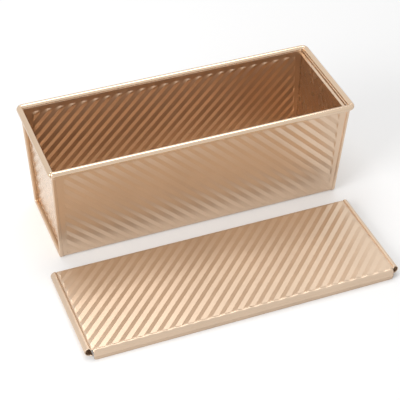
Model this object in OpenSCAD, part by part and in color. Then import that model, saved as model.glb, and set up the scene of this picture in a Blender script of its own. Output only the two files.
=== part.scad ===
// Corrugated pullman loaf pan, shown open with its slide-on lid lying in front of it.
// The pan stands on Z = 0, centred on the origin, with its long side along X and its front at -Y.

/* [Pan] */
// Overall length over the rolled rim
rim_length = 341; // [200:1:450]
// Overall width over the rolled rim
rim_width = 129; // [80:1:200]
// Height from the table to the top of the rim
pan_height = 126; // [60:1:160]
// How far each end of the shell leans in from the rim to the table
end_taper = 5.2; // [0:0.1:15]
// How far each long wall leans in from the rim to the table
wall_taper = 8.5; // [0:0.1:15]
// Inner radius of the bend between base and long walls
base_bend = 3; // [1:0.5:10]
// Thickness of the coated sheet
sheet = 0.8; // [0.5:0.1:1.5]

/* [Rim] */
// Outer radius of the rolled rim
rim_radius = 3.4; // [2:0.1:6]
// Inner radius of the rolled rim at the four corners, in plan
corner_inner = 0.6; // [0.5:0.1:8]
// Clearance between the rim wire and the sheet rolled around it
wire_clearance = 0.1; // [0.05:0.05:0.5]
// Gap between neighbouring curls, where the wire shows
curl_gap = 0.3; // [0.1:0.1:1]

/* [End seams] */
// How far each end panel is set back from the end of the shell
lip_depth = 4.2; // [2:0.1:8]
// How far the shell's ends stand out at the top, from the inner side of the rolled rim
edge_reach = 3.2; // [0.8:0.1:6]
// How far the folded seam stands out from the long walls
lip_proud = 0.5; // [0.2:0.1:2]
// Clearance between the end panel's flange and the folded shell
seam_clearance = 0.05; // [0.02:0.01:0.2]
// Height below the rim where the end panel starts to flare out to it
flare_height = 3; // [2:0.5:15]

/* [Corrugation] */
// Distance between ribs, measured along the long wall
rib_pitch = 13.3; // [8:0.1:25]
// Height of the ribs
rib_depth = 0.8; // [0.3:0.1:1.5]
// Depth of the grooves behind the ribs
rib_hollow = 0.6; // [0.2:0.1:1.2]
// Half of the flat land between two ribs
rib_valley = 0.3; // [0.1:0.1:2]
// Half of the flat land between two grooves
rib_land = 1; // [0.2:0.1:3]
// Plain margin beside the upright edges and the base bends
rib_margin = 3; // [2:0.5:15]
// Plain band below the rim
rib_rim_margin = 8; // [4:0.5:20]

/* [Lid] */
// How far the lid's back edge stops short of the rim's outer edge
lid_short = 5; // [0:0.5:6]
// Clearance between the rolled rim and the lid's hooks
lid_clearance = 0.7; // [0.2:0.1:1.5]
// Drop of the front flange below the panel
flange_drop = 11; // [8:0.5:25]
// How far the ends of the flange stop short of the middle of the rim wire
flange_inset = 3; // [0:0.5:20]
// Setback of the hooks behind the front flange
hook_setback = 5; // [1:0.5:10]
// Inner radius of the bend between panel and flange
flange_bend = 2.4; // [1:0.1:4]
// Radius of the bead pressed along the flange
flange_bead = 0.9; // [0.5:0.1:1.5]
// Radius of the flange's lower corners
flange_corner = 3; // [1:0.5:8]
// Place of the lid's middle on the table, along X
lid_x = -8.5; // [-60:0.5:60]
// Gap on the table between the pan's rim and the lid's back edge, seen from above
lid_gap = 14.5; // [5:0.5:80]

/* [Hidden] */
$fn = 48;
eps = 0.05;
far = 1000;
wire_radius = rim_radius - sheet - wire_clearance;
rim_corner = rim_radius + corner_inner;
seam_angle = curl_gap / 2 / rim_corner * 180 / PI;
rim_z = pan_height - rim_radius;
rim_x = rim_length / 2 - rim_radius;
rim_y = rim_width / 2 - rim_radius;
wall_top = rim_y - rim_radius;
wall_foot = wall_top - wall_taper;
wall_angle = atan((wall_top - wall_foot) / rim_z);
bend_y = wall_foot + (sheet + base_bend) * tan(wall_angle) - base_bend / cos(wall_angle);
end_top = rim_x - rim_radius;
cut_top = pan_height - 2 * rim_radius - curl_gap;
seam_top = cut_top - flare_height;
tuck = 0.3;
edge_top = end_top + edge_reach;
edge_foot = edge_top - end_taper;
panel_foot = edge_foot - lip_depth;
end_angle = atan((edge_top - edge_foot) / rim_z);
rib_half = rib_pitch / sqrt(2) / 2;
rib_root = sheet / 4;
rib_run = rim_length + 2 * pan_height;
rib_count = ceil(rib_run / rib_pitch);
lid_width = rim_width - lid_short;
lid_y = -(rim_width / 2 + lid_gap + lid_width / 2);
flange_reach = rim_x - flange_inset;
hook_inner = rim_radius + lid_clearance;
hook_outer = hook_inner + sheet;
hook_drop = rim_radius + hook_outer;
panel_x = rim_x - sheet;
lid_tilt = atan((flange_drop - hook_drop) / lid_width);
lid_z = flange_drop * cos(lid_tilt) - lid_width / 2 * sin(lid_tilt);
bead_drop = flange_drop * 0.55;
hook_turn = 145;

// A profile drawn in Y and Z, drawn out along X and centred
module along_x(length) {
    rotate([90, 0, 90])
        linear_extrude(height = length, center = true)
            children();
}

// A profile drawn in X and Z, drawn out along Y and centred
module along_y(length) {
    rotate([90, 0, 0])
        linear_extrude(height = length, center = true)
            children();
}

// Cross-section of the U, filled, at a distance outside the sheet's inner face, with its bends cut off
module u_outline(out) {
    reach = base_bend + out;
    nose_y = bend_y + reach * cos(wall_angle);
    nose_z = sheet + base_bend - reach * sin(wall_angle);
    top_y = wall_top + tuck * tan(wall_angle) + out / cos(wall_angle);
    polygon([
        [-bend_y, sheet - out], [bend_y, sheet - out], [nose_y, nose_z],
        [top_y, rim_z + tuck], [-top_y, rim_z + tuck], [-nose_y, nose_z]
    ]);
}

// The same cross-section with its bends rounded
module u_section(out) {
    u_outline(out);
    for (side = [-1, 1])
        translate([side * bend_y, sheet + base_bend])
            circle(r = base_bend + out);
}

// Diagonal bars of triangular section on a flat blank, side by side
module rib_bars(shift, lean, half, root, tip) {
    for (i = [-rib_count : rib_count])
        translate([(i + 0.5) * rib_pitch + shift, 0, 0])
            rotate([0, 0, lean * 45])
                along_x(2 * rib_run)
                    polygon([[-half, root], [half, root], [0, tip]]);
}

// The ribs that stand up from a sheet whose back lies on the drawing plane
module ribs_raised(low, high, shift, lean) {
    half = rib_half - rib_valley;
    intersection() {
        translate([low[0], low[1], sheet - rib_root])
            cube([high[0] - low[0], high[1] - low[1], rib_root + rib_depth]);
        rib_bars(shift, lean, half * (1 + rib_root / rib_depth), sheet - rib_root, sheet + rib_depth);
    }
}

// The grooves in the back of the same sheet, under its ribs
module ribs_hollow(low, high, shift, lean) {
    half = rib_half - rib_land;
    intersection() {
        translate([low[0] + sheet, low[1] + sheet, -eps])
            cube([high[0] - low[0] - 2 * sheet, high[1] - low[1] - 2 * sheet, rib_hollow + eps]);
        rib_bars(shift, lean, half * (1 + eps / rib_hollow), -eps, rib_hollow);
    }
}

// Outline of the pan from the front, between its sloping ends, set back by a distance
module end_outline(back) {
    polygon([
        [-edge_foot + back, -eps], [edge_foot - back, -eps],
        [edge_top - back, rim_z], [edge_top - back, pan_height + 1],
        [-edge_top + back, pan_height + 1], [-edge_top + back, rim_z]
    ]);
}

// Everything between the two sloping ends of the shell, set back by a distance
module between_ends(back) {
    along_y(2 * rim_width)
        end_outline(back);
}

// Rolled edge in section, its middle at the origin, open below on the side of the wall at -X
module curl_section() {
    difference() {
        circle(r = rim_radius);
        circle(r = rim_radius - sheet);
        translate([-rim_radius, -rim_radius])
            square([rim_radius * 0.7, rim_radius]);
    }
}

// Ribs of the base, raised or hollow
module base_ribs(hollow) {
    low = [-panel_foot + rib_margin, -bend_y + rib_margin];
    if (hollow) ribs_hollow(low, -low, 0, 1);
    else ribs_raised(low, -low, 0, 1);
}

// Ribs of a wall on the front side, raised or hollow
module wall_ribs(lean, hollow) {
    low = [-panel_foot + rib_margin, sheet + base_bend + rib_margin];
    high = [panel_foot - rib_margin, rim_z / cos(wall_angle) - rib_rim_margin];
    shift = lean * wall_foot;
    translate([0, -wall_foot - sheet / cos(wall_angle), 0])
        rotate([90 + wall_angle, 0, 0])
            mirror([0, 0, 1]) {
                if (hollow) ribs_hollow(low, high, shift, lean);
                else ribs_raised(low, high, shift, lean);
            }
}

// All ribs of the shell, raised or hollow
module shell_ribs(hollow) {
    base_ribs(hollow);
    wall_ribs(-1, hollow);
    mirror([0, 1, 0])
        wall_ribs(1, hollow);
}

// Rolled edge that runs along Y at a distance from the middle, and half round both corners
module rolled_edge(reach, run) {
    translate([reach, 0, rim_z])
        along_y(2 * run)
            curl_section();
    for (side = [-1, 1])
        translate([reach - rim_corner, side * run, rim_z])
            rotate([0, 0, side > 0 ? 0 : seam_angle - 45])
                rotate_extrude(angle = 45 - seam_angle)
                    translate([rim_corner, 0])
                        curl_section();
}

// Folded edges of the shell that clasp the end panels' flanges
module shell_hems() {
    fold = sheet + seam_clearance;
    difference() {
        intersection() {
            along_x(2 * edge_top + 2)
                difference() {
                    intersection() {
                        u_section(sheet + lip_proud);
                        translate([-rim_width, 0])
                            square([2 * rim_width, pan_height]);
                    }
                    u_outline(-2 * fold);
                }
            along_y(2 * rim_width)
                intersection() {
                    difference() {
                        end_outline(-1);
                        end_outline(lip_depth - seam_clearance);
                    }
                    translate([-edge_top, -1])
                        square([2 * edge_top, seam_top + 1]);
                }
        }
        intersection() {
            along_x(2 * edge_top)
                difference() {
                    u_section(0);
                    u_section(-fold - seam_clearance);
                }
            between_ends(sheet);
        }
    }
}

// Bevels that thin the top of a long wall on both faces, where it runs into the rolled edge
module wall_bevels() {
    low = rim_z - 3 * tuck / 2;
    high = rim_z + 2 * tuck;
    outer = wall_top + sheet / cos(wall_angle);
    for (side = [-1, 1], face = [[wall_top, -1], [outer, 1]])
        polygon([
            [side * (face[0] + face[1] * sheet), low], [side * (face[0] + face[1] * tuck / 2), low],
            [side * (face[0] - face[1] * tuck * 5 / 4), high], [side * (face[0] + face[1] * sheet), high]
        ]);
}

// Base and both long walls from one sheet, its ends folded back over the end panels
module shell() color("tan") {
    difference() {
        intersection() {
            union() {
                along_x(2 * edge_top + 2)
                    difference() {
                        u_section(sheet);
                        u_section(0);
                        wall_bevels();
                    }
                shell_ribs(false);
                shell_hems();
            }
            between_ends(0);
        }
        shell_ribs(true);
        for (side = [-1, 1])
            translate([side * (rim_x - rim_corner - tuck + far / 2), 0, cut_top + far / 2])
                cube(far, center = true);
    }
    for (turn = [90, 270])
        rotate([0, 0, turn])
            rolled_edge(rim_y, rim_x - rim_corner);
}

// Corrugated part of an end panel, drawn flat with its foot on the X axis
module end_sheet() {
    height = seam_top / cos(end_angle);
    low = [-wall_foot + rib_margin, sheet + base_bend + rib_margin];
    high = [wall_foot - rib_margin, height - rib_margin];
    difference() {
        union() {
            translate([-wall_top, 0, 0])
                cube([2 * wall_top, height, sheet]);
            ribs_raised(low, high, panel_foot, 1);
        }
        ribs_hollow(low, high, panel_foot, 1);
    }
}

// Top of an end panel, flaring out from the seam to the rim
module end_flare() {
    inner = panel_foot + seam_top * tan(end_angle) - sheet / cos(end_angle);
    along_y(2 * rim_y)
        polygon([
            [inner, seam_top - tuck], [end_top, cut_top], [end_top, rim_z],
            [end_top + sheet, rim_z + tuck], [end_top + sheet, cut_top - tuck],
            [inner + sheet, seam_top - tuck]
        ]);
}

// Flange of an end panel, turned outwards along the inside of the shell
module end_flange() {
    intersection() {
        difference() {
            along_x(far)
                difference() {
                    u_section(-seam_clearance);
                    u_section(-sheet - seam_clearance);
                }
            between_ends(lip_depth + sheet / 2);
        }
        between_ends(sheet + seam_clearance);
        translate([far / 2, 0, 0])
            cube([far, far, 2 * seam_top], center = true);
    }
}

// End panel at +X
module end_panel() {
    intersection() {
        translate([panel_foot, 0, 0])
            rotate([0, end_angle, 0])
                rotate([90, 0, 90])
                    mirror([0, 0, 1])
                        end_sheet();
        along_x(far)
            u_section(-seam_clearance);
    }
    intersection() {
        end_flare();
        union() {
            along_x(far)
                u_section(-seam_clearance);
            cube([far, 2 * (rim_y - rim_corner), far], center = true);
        }
    }
    end_flange();
    rolled_edge(rim_x, rim_y - rim_corner);
}

module right_end_panel() color("tan") {
    end_panel();
}

module left_end_panel() color("tan") {
    rotate([0, 0, 180])
        end_panel();
}

// Closed ring of wire inside the rolled rim
module rim_wire() color("silver") {
    translate([0, 0, rim_z]) {
        for (side = [-1, 1]) {
            translate([0, side * rim_y, 0])
                along_x(2 * (rim_x - rim_corner))
                    circle(r = wire_radius);
            translate([side * rim_x, 0, 0])
                along_y(2 * (rim_y - rim_corner))
                    circle(r = wire_radius);
        }
        for (turn = [0 : 3])
            translate([
                (turn == 0 || turn == 3 ? 1 : -1) * (rim_x - rim_corner),
                (turn < 2 ? 1 : -1) * (rim_y - rim_corner), 0
            ])
                rotate([0, 0, 90 * turn])
                    rotate_extrude(angle = 90)
                        translate([rim_corner, 0])
                            circle(r = wire_radius);
    }
}

// Crease and hook at the right end of the lid, in section
module hook_section() {
    translate([panel_x - tuck, 0])
        square([tuck + eps, sheet]);
    translate([panel_x, 0])
        square([sheet + eps, hook_outer - rim_radius]);
    translate([rim_x, -rim_radius])
        difference() {
            circle(r = hook_outer);
            circle(r = hook_inner);
            polygon([
                [0, 0], [0, 2 * hook_outer], [-2 * hook_outer, 2 * hook_outer],
                [-2 * hook_outer, 2 * hook_outer * cos(hook_turn) / sin(hook_turn)]
            ]);
        }
}

// Front flange of the lid, in section
module flange_section() {
    bend = flange_bend + sheet;
    front = -lid_width / 2;
    translate([front + bend, -flange_bend])
        difference() {
            circle(r = bend);
            circle(r = flange_bend);
            translate([0, -bend])
                square([bend, 2 * bend]);
            translate([-bend, -bend])
                square([2 * bend, bend]);
        }
    translate([front, -flange_drop])
        square([sheet, flange_drop - flange_bend + eps]);
    translate([front + bend - eps, 0])
        square([tuck, sheet]);
    intersection() {
        translate([front + sheet / 2, -bead_drop])
            circle(r = flange_bead + sheet / 2);
        translate([front - bend, -flange_drop])
            square([bend + sheet / 2, flange_drop]);
    }
}

// Outline of the flange seen from the front, with its lower corners rounded
module flange_outline() {
    translate([-flange_reach, -flange_drop + flange_corner])
        square([2 * flange_reach, flange_drop]);
    translate([-flange_reach + flange_corner, -flange_drop])
        square([2 * (flange_reach - flange_corner), flange_corner + eps]);
    for (side = [-1, 1])
        translate([side * (flange_reach - flange_corner), -flange_drop + flange_corner])
            circle(r = flange_corner);
}

// Lid in its own frame, its panel's underside on Z = 0 and its flange at -Y
module lid_sheet() {
    panel_y = -lid_width / 2 + flange_bend + sheet;
    difference() {
        union() {
            translate([-panel_x, panel_y, 0])
                cube([2 * panel_x, lid_width / 2 - panel_y, sheet]);
            ribs_raised([-panel_x, panel_y], [panel_x, lid_width / 2], 0, 1);
        }
        ribs_hollow([-panel_x, panel_y], [panel_x, lid_width / 2], 0, 1);
    }
    for (side = [0, 180])
        translate([0, hook_setback / 2, 0])
            rotate([0, 0, side])
                along_y(lid_width - hook_setback)
                    hook_section();
    intersection() {
        along_x(2 * flange_reach)
            flange_section();
        along_y(2 * lid_width)
            flange_outline();
    }
}

// Lid lying on the table in front of the pan, on its flange and the backs of its hooks
module lid() color("tan") {
    translate([lid_x, lid_y, lid_z])
        rotate([-lid_tilt, 0, 0])
            lid_sheet();
}

shell();
left_end_panel();
right_end_panel();
rim_wire();
lid();
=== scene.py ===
import math

import bmesh
import bpy
from mathutils import Matrix, Vector


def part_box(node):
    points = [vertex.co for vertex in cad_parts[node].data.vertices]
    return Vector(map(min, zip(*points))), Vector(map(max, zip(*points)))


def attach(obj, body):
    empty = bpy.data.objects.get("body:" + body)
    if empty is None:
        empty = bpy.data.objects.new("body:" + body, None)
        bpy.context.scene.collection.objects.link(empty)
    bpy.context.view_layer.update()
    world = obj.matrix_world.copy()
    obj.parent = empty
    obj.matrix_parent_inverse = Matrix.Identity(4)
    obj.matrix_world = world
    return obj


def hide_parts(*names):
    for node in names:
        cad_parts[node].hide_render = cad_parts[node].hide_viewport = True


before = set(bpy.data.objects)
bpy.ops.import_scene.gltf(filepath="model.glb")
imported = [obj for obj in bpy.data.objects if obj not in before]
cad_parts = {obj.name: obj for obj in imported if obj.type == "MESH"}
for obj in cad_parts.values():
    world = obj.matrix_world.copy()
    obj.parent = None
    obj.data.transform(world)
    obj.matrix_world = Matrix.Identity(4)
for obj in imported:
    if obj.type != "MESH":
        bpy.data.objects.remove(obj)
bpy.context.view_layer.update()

# Camera and studio
# The pan stands on a white table and is seen from high on its left front corner with a long lens.
# A large soft lamp stands at the left, and another hangs above.
camera_place = Vector((-0.4021, -1.0485, 0.9395))
camera_yaw = math.radians(21.813)
camera_pitch = math.radians(-40.1)
camera_roll = math.radians(0.838)
frame_pixels = 400
focal_pixels = 1299
sensor = 36

ahead = Vector((
    math.sin(camera_yaw) * math.cos(camera_pitch),
    math.cos(camera_yaw) * math.cos(camera_pitch),
    math.sin(camera_pitch),
))
level_right = ahead.cross(Vector((0, 0, 1))).normalized()
level_up = level_right.cross(ahead)
right = math.cos(camera_roll) * level_right + math.sin(camera_roll) * level_up
up = -math.sin(camera_roll) * level_right + math.cos(camera_roll) * level_up
camera_data = bpy.data.cameras.new("camera")
camera_data.lens = focal_pixels / frame_pixels * sensor
camera_data.sensor_width = sensor
camera_data.clip_start = 0.01
camera = bpy.data.objects.new("camera", camera_data)
bpy.context.collection.objects.link(camera)
camera.matrix_world = Matrix((
    (right.x, up.x, -ahead.x, camera_place.x),
    (right.y, up.y, -ahead.y, camera_place.y),
    (right.z, up.z, -ahead.z, camera_place.z),
    (0, 0, 0, 1),
))
bpy.context.scene.camera = camera
bpy.context.scene.view_settings.view_transform = "Standard"


def soft_lamp(name, place, target, width, height, power):
    lamp = bpy.data.lights.new(name, "AREA")
    lamp.shape = "RECTANGLE"
    lamp.size = width
    lamp.size_y = height
    lamp.energy = power
    holder = bpy.data.objects.new(name, lamp)
    holder.location = place
    holder.rotation_mode = "QUATERNION"
    holder.rotation_quaternion = (Vector(target) - Vector(place)).to_track_quat("-Z", "Y")
    bpy.context.collection.objects.link(holder)
    return holder


soft_lamp("left_softbox", (-1.5, -0.6, 0.8), (0, 0, 0.05), 1.0, 1.0, 20)
soft_lamp("top_softbox", (0.1, 0.5, 2.0), (0, -0.05, 0), 1.6, 1.2, 18)


def seen_directly(nodes, links):
    """1 for rays of the camera, of mirrors and of glass, and 0 for the light that falls on the pan."""
    path = nodes.new("ShaderNodeLightPath")
    largest = path.outputs["Is Camera Ray"]
    for title in ("Is Glossy Ray", "Is Transmission Ray"):
        either = nodes.new("ShaderNodeMath")
        either.operation = "MAXIMUM"
        links.new(largest, either.inputs[0])
        links.new(path.outputs[title], either.inputs[1])
        largest = either.outputs["Value"]
    return largest


world = bpy.data.worlds.new("studio")
bpy.context.scene.world = world
world.use_nodes = True
nodes, links = world.node_tree.nodes, world.node_tree.links
nodes.clear()
surroundings = nodes.new("ShaderNodeBackground")
surroundings.inputs["Color"].default_value = (1, 1, 1, 1)
surroundings.inputs["Strength"].default_value = 0.5
backdrop = nodes.new("ShaderNodeBackground")
backdrop.inputs["Color"].default_value = (1, 1, 1, 1)
backdrop.inputs["Strength"].default_value = 1
chooser = nodes.new("ShaderNodeMixShader")
world_out = nodes.new("ShaderNodeOutputWorld")
links.new(seen_directly(nodes, links), chooser.inputs["Fac"])
links.new(surroundings.outputs["Background"], chooser.inputs[1])
links.new(backdrop.outputs["Background"], chooser.inputs[2])
links.new(chooser.outputs["Shader"], world_out.inputs["Surface"])

# Table
# A plain white table top, matt, that keeps the soft shadows under the pan and the lid.
# Its own small glow brings the lit table up to white, also where the metal mirrors it.
table_half = 4
table_mesh = bpy.data.meshes.new("table_top")
table_bm = bmesh.new()
bmesh.ops.create_grid(table_bm, x_segments=1, y_segments=1, size=table_half)
table_bm.to_mesh(table_mesh)
table_bm.free()
table_top = bpy.data.objects.new("table_top", table_mesh)
bpy.context.collection.objects.link(table_top)
table_white = bpy.data.materials.new("table_white")
table_white.use_nodes = True
nodes, links = table_white.node_tree.nodes, table_white.node_tree.links
nodes.clear()
matt = nodes.new("ShaderNodeBsdfDiffuse")
matt.inputs["Color"].default_value = (0.8, 0.8, 0.8, 1)
glow = nodes.new("ShaderNodeEmission")
glow.inputs["Color"].default_value = (1, 1, 1, 1)
strength = nodes.new("ShaderNodeMath")
strength.operation = "MULTIPLY"
strength.inputs[1].default_value = 0.16
both = nodes.new("ShaderNodeAddShader")
table_out = nodes.new("ShaderNodeOutputMaterial")
links.new(seen_directly(nodes, links), strength.inputs[0])
links.new(strength.outputs["Value"], glow.inputs["Strength"])
links.new(matt.outputs["BSDF"], both.inputs[0])
links.new(glow.outputs["Emission"], both.inputs[1])
links.new(both.outputs["Shader"], table_out.inputs["Surface"])
table_mesh.materials.append(table_white)

# Shell
# The base and both long walls are one blank of steel sheet with a gold non-stick coating.
# Diagonal ribs are pressed into the blank, and it is folded to a U with small bends at the base.
sheet = 0.0008
rim_radius = 0.0034
end_low, end_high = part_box("right_end_panel")
shell_low, shell_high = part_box("shell")
rim_x = end_high.x - rim_radius
rim_y = shell_high.y - rim_radius
rim_z = end_high.z - rim_radius
rim_corner = rim_radius + 0.0006
wall_top = rim_y - rim_radius
wall_foot = 0.0492
wall_slope = math.atan((wall_top - wall_foot) / rim_z)
base_bend = 0.003
bend_y = wall_foot + (sheet + base_bend) * math.tan(wall_slope) - base_bend / math.cos(wall_slope)
bend_turn = math.pi / 2 - wall_slope
bend_length = base_bend * bend_turn
nose_y = bend_y + base_bend * math.cos(wall_slope)
nose_z = sheet + base_bend - base_bend * math.sin(wall_slope)
wall_length = (rim_z - nose_z) / math.cos(wall_slope)
half_girth = bend_y + bend_length + wall_length
rib_pitch = 0.0133
rib_depth = 0.0008
blank_step = rib_pitch / 8
edge_foot = 0.1617
edge_top = rim_x - rim_radius + 0.0032
lip_depth = 0.0042
lip_proud = 0.0005
end_slope = math.atan((edge_top - edge_foot) / rim_z)
upright_margin = 0.003
bend_margin = 0.003
rim_margin = 0.008
margin_fade = 0.002
lip_end = 0.0006
crease_low = math.radians(8)
crease_high = math.radians(25)
weld_distance = 1e-6


def soft_step(value, start, length):
    part = min(max((value - start) / length, 0), 1)
    return part * part * (3 - 2 * part)


def rib_height(along, across):
    """Height of the zigzag ribs, whose crests and valleys run along the diagonals of the grid."""
    return rib_depth * (1 - abs(2 * ((along - across) / rib_pitch % 1) - 1))


def shell_point(girth):
    """Place and inward direction, in Y and Z, at a distance along the folded blank from its middle."""
    side = 1 if girth >= 0 else -1
    run = abs(girth)
    if run <= bend_y:
        return side * run, sheet, 0, 1
    run -= bend_y
    if run <= bend_length:
        turn = run / base_bend
        return (
            side * (bend_y + base_bend * math.sin(turn)), sheet + base_bend * (1 - math.cos(turn)),
            -side * math.sin(turn), math.cos(turn),
        )
    run -= bend_length
    return (
        side * (nose_y + run * math.sin(wall_slope)), nose_z + run * math.cos(wall_slope),
        -side * math.cos(wall_slope), math.sin(wall_slope),
    )


def shell_ribs(along, girth):
    run = abs(girth)
    wall_start = bend_y + bend_length
    if run < wall_start:
        plain = 1 - soft_step(run, bend_y - bend_margin, margin_fade)
    else:
        plain = soft_step(run, wall_start + bend_margin - margin_fade, margin_fade)
        plain *= 1 - soft_step(run, half_girth - rim_margin, margin_fade)
    plain *= 1 - soft_step(abs(along), edge_foot - lip_depth - upright_margin - margin_fade, margin_fade)
    return rib_height(along, girth) * plain


def pressed_blank(columns, rows, place):
    """A flat grid of columns by rows, whose corners are then moved to where place puts them."""
    bm = bmesh.new()
    bmesh.ops.create_grid(bm, x_segments=columns, y_segments=rows, size=1)
    for vert in bm.verts:
        column = round((vert.co.x + 1) / 2 * columns)
        row = round((vert.co.y + 1) / 2 * rows)
        vert.co = place(column, row)
    return bm


def crisp_ribs(bm):
    """Split the grid along its diagonals and make the crests and valleys of the ribs sharp."""
    bmesh.ops.triangulate(bm, faces=bm.faces, quad_method="FIXED")
    bm.normal_update()
    for edge in bm.edges:
        if len(edge.link_faces) == 2 and crease_low < edge.calc_face_angle() < crease_high:
            edge.smooth = False


def turn_towards(bm, point):
    """Turn all faces over if most of them look away from the point."""
    bm.normal_update()
    facing = sum(1 if face.normal.dot(point - face.calc_center_median()) > 0 else -1 for face in bm.faces)
    if facing < 0:
        bmesh.ops.reverse_faces(bm, faces=bm.faces)


def add_piece(name, bm, material, body, node, thickness=sheet):
    bmesh.ops.remove_doubles(bm, verts=bm.verts, dist=weld_distance)
    bmesh.ops.dissolve_degenerate(bm, edges=bm.edges, dist=weld_distance)
    mesh = bpy.data.meshes.new(name)
    bm.to_mesh(mesh)
    bm.free()
    mesh.shade_smooth()
    piece = bpy.data.objects.new(name, mesh)
    bpy.context.collection.objects.link(piece)
    mesh.materials.append(material)
    wall = piece.modifiers.new("wall", "SOLIDIFY")
    wall.thickness = thickness
    wall.offset = -1
    wall.use_rim = True
    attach(piece, body)
    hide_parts(node)
    return piece


def coating_group():
    """Fine grain, slow tone changes and rub marks of the baked coating, as masks and a height."""
    group = bpy.data.node_groups.new("coating_marks", "ShaderNodeTree")
    for title, value in (("Grain Scale", 900.0), ("Tone Scale", 14.0), ("Rub Scale", 90.0)):
        socket = group.interface.new_socket(name=title, in_out="INPUT", socket_type="NodeSocketFloat")
        socket.default_value = value
    group.interface.new_socket(name="Tone", in_out="OUTPUT", socket_type="NodeSocketFloat")
    group.interface.new_socket(name="Rub", in_out="OUTPUT", socket_type="NodeSocketFloat")
    group.interface.new_socket(name="Grain", in_out="OUTPUT", socket_type="NodeSocketFloat")
    nodes, links = group.nodes, group.links
    given = nodes.new("NodeGroupInput")
    result = nodes.new("NodeGroupOutput")
    place = nodes.new("ShaderNodeTexCoord")
    for title, scale, detail, low, high in (
        ("Grain", "Grain Scale", 4, 0.25, 0.75),
        ("Tone", "Tone Scale", 3, 0.3, 0.7),
        ("Rub", "Rub Scale", 6, 0.5, 0.75),
    ):
        noise = nodes.new("ShaderNodeTexNoise")
        noise.inputs["Detail"].default_value = detail
        spread = nodes.new("ShaderNodeMapRange")
        spread.inputs["From Min"].default_value = low
        spread.inputs["From Max"].default_value = high
        links.new(place.outputs["Object"], noise.inputs["Vector"])
        links.new(given.outputs[scale], noise.inputs["Scale"])
        links.new(noise.outputs["Fac"], spread.inputs["Value"])
        links.new(spread.outputs["Result"], result.inputs[title])
    return group


coating_marks = coating_group()


def coated_steel(name, dark, light, roughness_low, roughness_high):
    """Gold non-stick coating on steel: satin, with a slow change of tone and a fine grain."""
    material = bpy.data.materials.new(name)
    material.use_nodes = True
    nodes, links = material.node_tree.nodes, material.node_tree.links
    shader = nodes["Principled BSDF"]
    shader.inputs["Metallic"].default_value = 1
    shader.inputs["Coat Weight"].default_value = 0.15
    shader.inputs["Coat Roughness"].default_value = 0.3
    marks = nodes.new("ShaderNodeGroup")
    marks.node_tree = coating_marks
    tone = nodes.new("ShaderNodeMix")
    tone.data_type = "RGBA"
    tone.inputs["A"].default_value = (*dark, 1)
    tone.inputs["B"].default_value = (*light, 1)
    gloss = nodes.new("ShaderNodeMapRange")
    gloss.inputs["To Min"].default_value = roughness_low
    gloss.inputs["To Max"].default_value = roughness_high
    bump = nodes.new("ShaderNodeBump")
    bump.inputs["Strength"].default_value = 0.06
    bump.inputs["Distance"].default_value = 0.0001
    links.new(marks.outputs["Tone"], tone.inputs["Factor"])
    links.new(tone.outputs["Result"], shader.inputs["Base Color"])
    links.new(marks.outputs["Rub"], gloss.inputs["Value"])
    links.new(gloss.outputs["Result"], shader.inputs["Roughness"])
    links.new(marks.outputs["Grain"], bump.inputs["Height"])
    links.new(bump.outputs["Normal"], shader.inputs["Normal"])
    return material


shell_coating = coated_steel("shell_coating", (0.64, 0.48, 0.35), (0.7, 0.53, 0.39), 0.3, 0.36)
shell_columns = 2 * math.ceil((edge_top + blank_step) / blank_step)
shell_rows = 2 * math.ceil(half_girth / blank_step)


def shell_place(column, row):
    along = (column - shell_columns / 2) * blank_step
    girth = min(max((row - shell_rows / 2) * blank_step, -half_girth), half_girth)
    y, z, inward_y, inward_z = shell_point(girth)
    height = shell_ribs(along, girth)
    return Vector((along, y + inward_y * height, z + inward_z * height))


shell_bm = pressed_blank(shell_columns, shell_rows, shell_place)
crisp_ribs(shell_bm)
for side in (-1, 1):
    outward = Vector((side * math.cos(end_slope), 0, -math.sin(end_slope)))
    bmesh.ops.bisect_plane(
        shell_bm, geom=shell_bm.verts[:] + shell_bm.edges[:] + shell_bm.faces[:],
        plane_co=Vector((side * (edge_foot - lip_end), 0, 0)), plane_no=outward, clear_outer=True,
    )
pan_middle = Vector((0, 0, rim_z / 2))
turn_towards(shell_bm, pan_middle)
add_piece("shell_sheet", shell_bm, shell_coating, "pan", "shell")

# Folded end seams
# Each end of the shell is folded back over the flange of the end panel and pressed flat.
# The fold stands out as a rounded lip around the front, the base and the back of each end.
fold_inner = 0.0017
fold_outer = sheet + lip_proud
fold_round = (fold_inner + fold_outer) / 2
seam_top = 0.1159
seam_girth = half_girth - (rim_z - seam_top) / math.cos(wall_slope)
fold_steps = 10
lip_rows = 2 * round(seam_girth / 0.0012)


def lip_bm(side):
    columns = fold_steps + 3

    def place(column, row):
        girth = (row / lip_rows * 2 - 1) * seam_girth
        y, z, inward_y, inward_z = shell_point(girth)
        edge = edge_foot + z * math.tan(end_slope)
        if column == 0:
            back, level = lip_depth, fold_inner
        elif column == columns - 1:
            back, level = lip_depth - lip_proud, -fold_outer
        elif column == columns:
            back, level = lip_depth, -sheet
        else:
            turn = math.pi * (column - 1) / fold_steps
            back = fold_round * (1 - math.sin(turn))
            level = (fold_inner - fold_outer) / 2 + fold_round * math.cos(turn)
        return Vector((side * (edge - back), y + inward_y * level, max(z + inward_z * level, 0)))

    return pressed_blank(columns, lip_rows, place)


for side, name in ((-1, "left_seam_fold"), (1, "right_seam_fold")):
    fold_bm = lip_bm(side)
    turn_towards(fold_bm, Vector((side * 2 * edge_foot, 0, rim_z / 2)))
    add_piece(name, fold_bm, shell_coating, "pan", "shell", sheet)

# Rolled edges
# The top of each wall is rolled outwards around the rim wire, and half round both of its corners.
# It is the same sheet as the wall, so each long roll belongs to the shell and each short one to its end.
roll_turn = math.radians(292)
roll_steps = 26
corner_steps = 8
corner_turn = math.pi / 4 - 0.00015 / rim_corner


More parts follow.
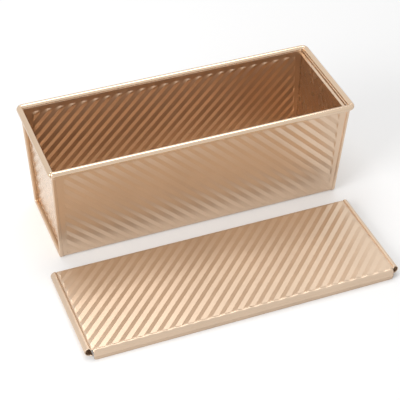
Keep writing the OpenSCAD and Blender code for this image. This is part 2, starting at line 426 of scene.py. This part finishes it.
def rolled_edge(reach, run):
    """A rolled edge along Y at a distance from the middle, from one corner's middle to the other's."""
    stations = 2 * corner_steps + 1

    def place(column, row):
        turn = roll_turn * column / roll_steps
        out = rim_corner - rim_radius * math.cos(turn)
        side = -1 if row <= corner_steps else 1
        step = corner_steps - row if side < 0 else row - corner_steps - 1
        around = side * corner_turn * step / corner_steps
        return Vector((
            reach - rim_corner + out * math.cos(around), side * run + out * math.sin(around),
            rim_z + rim_radius * math.sin(turn),
        ))

    return pressed_blank(roll_steps, stations, place)


rim_coating = coated_steel("rim_coating", (0.66, 0.5, 0.36), (0.72, 0.55, 0.4), 0.12, 0.16)
for side, name in ((-1, "front_rolled_edge"), (1, "back_rolled_edge")):
    roll_bm = rolled_edge(rim_y, rim_x - rim_corner)
    bmesh.ops.transform(roll_bm, matrix=Matrix.Rotation(side * math.pi / 2, 4, "Z"), verts=roll_bm.verts)
    add_piece(name, roll_bm, rim_coating, "pan", "shell")

# End panels
# Each end is a separate pressed panel with the same diagonal ribs, set back inside the shell's end.
# Its top flares out to the rim and is rolled around the wire, right round both corners.
panel_foot = edge_foot - lip_depth
flare_top = 0.1189
end_top = rim_x - rim_radius
flare_steps = 6
end_start = math.floor(panel_foot / blank_step)
end_rows = math.ceil((panel_foot + seam_top) / blank_step) - end_start
end_columns = 2 * math.ceil(wall_top / blank_step)
side_gap = 0.00005


def end_ribs(across, height):
    wall_here = wall_foot + height * math.tan(wall_slope)
    plain = soft_step(height, sheet + bend_margin, margin_fade)
    plain *= 1 - soft_step(height, seam_top - bend_margin - margin_fade, margin_fade)
    plain *= 1 - soft_step(abs(across), wall_here - upright_margin - margin_fade, margin_fade)
    return rib_height(panel_foot + height, across) * plain


def end_place(column, row):
    across = (column - end_columns / 2) * blank_step
    if row <= end_rows:
        height = min((end_start + row) * blank_step - panel_foot, seam_top)
        inner = panel_foot - sheet + height * math.tan(end_slope) - end_ribs(across, height)
        return Vector((inner, across, height))
    step = row - end_rows
    start = panel_foot - sheet + seam_top * math.tan(end_slope)
    if step <= flare_steps:
        part = soft_step(step / flare_steps, 0, 1)
        rise = (flare_top - seam_top) * step / flare_steps
        return Vector((start + (end_top - start) * part, across, seam_top + rise))
    return Vector((end_top, across, rim_z))


def end_sheet_bm():
    bm = pressed_blank(end_columns, end_rows + flare_steps + 1, end_place)
    crisp_ribs(bm)
    for side in (-1, 1):
        bmesh.ops.bisect_plane(
            bm, geom=bm.verts[:] + bm.edges[:] + bm.faces[:],
            plane_co=Vector((0, side * (wall_foot - side_gap), 0)),
            plane_no=Vector((0, side * math.cos(wall_slope), -math.sin(wall_slope))), clear_outer=True,
        )
    bmesh.ops.bisect_plane(
        bm, geom=bm.verts[:] + bm.edges[:] + bm.faces[:],
        plane_co=Vector((0, 0, sheet + side_gap)), plane_no=Vector((0, 0, -1)), clear_outer=True,
    )
    return bm


# Painted light: the end panels get the shell's gold coating a little lighter, as painted lamp light that
# brightens both end walls.
end_coating_painted_light = coated_steel("end_coating_painted_light", (0.68, 0.52, 0.38), (0.74, 0.57, 0.42), 0.26, 0.32)
half_turn = Matrix.Rotation(math.pi, 4, "Z")
for node, turned in (("right_end_panel", False), ("left_end_panel", True)):
    panel_bm = end_sheet_bm()
    roll_bm = rolled_edge(rim_x, rim_y - rim_corner)
    turn_towards(panel_bm, pan_middle)
    if turned:
        bmesh.ops.transform(panel_bm, matrix=half_turn, verts=panel_bm.verts)
        bmesh.ops.transform(roll_bm, matrix=half_turn, verts=roll_bm.verts)
    add_piece(node + "_sheet", panel_bm, end_coating_painted_light, "pan", node)
    add_piece(node + "_rolled_edge", roll_bm, rim_coating, "pan", node)

# Rim wire
# A closed ring of drawn steel wire stiffens the rim. Only a little of it shows at the corner gaps.
# It is the CAD node with a drawn-steel finish.
wire_steel = bpy.data.materials.new("wire_steel")
wire_steel.use_nodes = True
nodes, links = wire_steel.node_tree.nodes, wire_steel.node_tree.links
shader = nodes["Principled BSDF"]
shader.inputs["Metallic"].default_value = 1
place = nodes.new("ShaderNodeTexCoord")
streaks = nodes.new("ShaderNodeTexNoise")
streaks.inputs["Scale"].default_value = 400
tone = nodes.new("ShaderNodeMix")
tone.data_type = "RGBA"
tone.inputs["A"].default_value = (0.42, 0.41, 0.4, 1)
tone.inputs["B"].default_value = (0.6, 0.59, 0.57, 1)
gloss = nodes.new("ShaderNodeMapRange")
gloss.inputs["To Min"].default_value = 0.3
gloss.inputs["To Max"].default_value = 0.45
links.new(place.outputs["Object"], streaks.inputs["Vector"])
links.new(streaks.outputs["Fac"], tone.inputs["Factor"])
links.new(streaks.outputs["Fac"], gloss.inputs["Value"])
links.new(tone.outputs["Result"], shader.inputs["Base Color"])
links.new(gloss.outputs["Result"], shader.inputs["Roughness"])
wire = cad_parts["rim_wire"]
wire.data.materials.clear()
wire.data.materials.append(wire_steel)

# Lid
# One pressed sheet with the same ribs, hooked under along both short ends to run on the rim.
# A crease lies beside each hook. It rests on its front flange and on the backs of its hooks.
lid_low, lid_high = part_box("lid")
lid_width = 0.124
lid_x = (lid_low.x + lid_high.x) / 2
lid_y = -0.141
flange_drop = 0.011
hook_inner = rim_radius + 0.0007
hook_outer = hook_inner + sheet
hook_turn = math.radians(215)
hook_setback = 0.005
groove_depth = 0.0005
groove_run = 0.002
flange_bend = 0.0024
flange_reach = rim_x - 0.003
lid_tilt = math.atan((flange_drop - rim_radius - hook_outer) / lid_width)
lid_z = flange_drop * math.cos(lid_tilt) - lid_width / 2 * math.sin(lid_tilt)
lid_matrix = Matrix.Translation((lid_x, lid_y, lid_z)) @ Matrix.Rotation(-lid_tilt, 4, "X")
panel_x = rim_x - groove_run
panel_front = -lid_width / 2 + flange_bend + sheet
panel_columns = 2 * math.ceil(panel_x / blank_step)
panel_start = math.floor(panel_front / blank_step)
panel_rows = math.ceil(lid_width / 2 / blank_step) - panel_start
groove_steps = 12
hook_steps = 24
lid_half_columns = panel_columns // 2 + groove_steps + 1 + hook_steps
lid_fade = 0.0012
back_fade = 0.002


def lid_section(index):
    """Place in X and Z of one column of the lid's blank, counted from the middle."""
    flat = panel_columns // 2
    if index <= flat:
        return min(index * blank_step, panel_x), sheet
    index -= flat
    if index <= groove_steps:
        part = index / groove_steps
        dip = groove_depth * math.sin(math.pi * min(part / 0.6, 1)) ** 2
        rise = (hook_outer - rim_radius - sheet) * soft_step(part, 0.4, 0.6)
        return panel_x + groove_run * part, sheet - dip + rise
    index -= groove_steps + 1
    turn = math.pi / 2 - hook_turn * index / hook_steps
    return rim_x + hook_outer * math.cos(turn), -rim_radius + hook_outer * math.sin(turn)


def lid_place(column, row):
    index = column - lid_half_columns
    side = 1 if index >= 0 else -1
    x, z = lid_section(abs(index))
    hooked = soft_step(x, panel_x, groove_run)
    front = panel_front + hooked * (-lid_width / 2 + hook_setback - panel_front)
    y = min(max((panel_start + row) * blank_step, front), lid_width / 2)
    plain = 1 - soft_step(x, panel_x - lid_fade, lid_fade)
    plain *= 1 - soft_step(y, lid_width / 2 - back_fade, back_fade)
    return Vector((side * x, y, z + rib_height(side * x, y) * plain))


lid_coating = coated_steel("lid_coating", (0.6, 0.46, 0.34), (0.66, 0.51, 0.38), 0.38, 0.44)
lid_bm = pressed_blank(2 * lid_half_columns, panel_rows, lid_place)
crisp_ribs(lid_bm)
turn_towards(lid_bm, Vector((0, 0, 1)))
bmesh.ops.transform(lid_bm, matrix=lid_matrix, verts=lid_bm.verts)
add_piece("lid_sheet", lid_bm, lid_coating, "lid", "lid")

# Lid flange
# The front edge of the lid is bent down into a flange that stops against the pan and serves as a pull.
# The ribs die out in its bend, which makes the bend wavy, and a bead stiffens it lengthwise.
bend_steps = 8
drop_steps = 16
bend_radius = flange_bend + sheet
bead_drop = flange_drop * 0.55
bead_height = 0.0007
bead_half = 0.0016
flange_columns = 2 * math.ceil(flange_reach / blank_step)
flange_corner = 0.003


def flange_place(column, row):
    x = min(max((column - flange_columns / 2) * blank_step, -flange_reach), flange_reach)
    height = rib_height(x, panel_front) * (1 - soft_step(abs(x), panel_x - lid_fade, lid_fade))
    if row <= bend_steps:
        turn = math.pi / 2 * row / bend_steps
        height *= 1 - soft_step(turn, 0.2, 1.2)
        reach = bend_radius + height
        return Vector((x, panel_front - reach * math.sin(turn), -flange_bend + reach * math.cos(turn)))
    part = (row - bend_steps) / drop_steps
    down = flange_bend + part * (flange_drop - flange_bend)
    bead = max(0, 1 - ((down - bead_drop) / bead_half) ** 2) * bead_height
    over = max(0, down - (flange_drop - flange_corner)) / flange_corner
    reach = flange_reach - flange_corner * (1 - math.sqrt(max(0, 1 - over * over)))
    return Vector((min(max(x, -reach), reach), -lid_width / 2 - bead, -down))


flange_bm = pressed_blank(flange_columns, bend_steps + drop_steps, flange_place)
turn_towards(flange_bm, Vector((0, -1, 0.3)))
bmesh.ops.transform(flange_bm, matrix=lid_matrix, verts=flange_bm.verts)
add_piece("lid_flange", flange_bm, lid_coating, "lid", "lid")
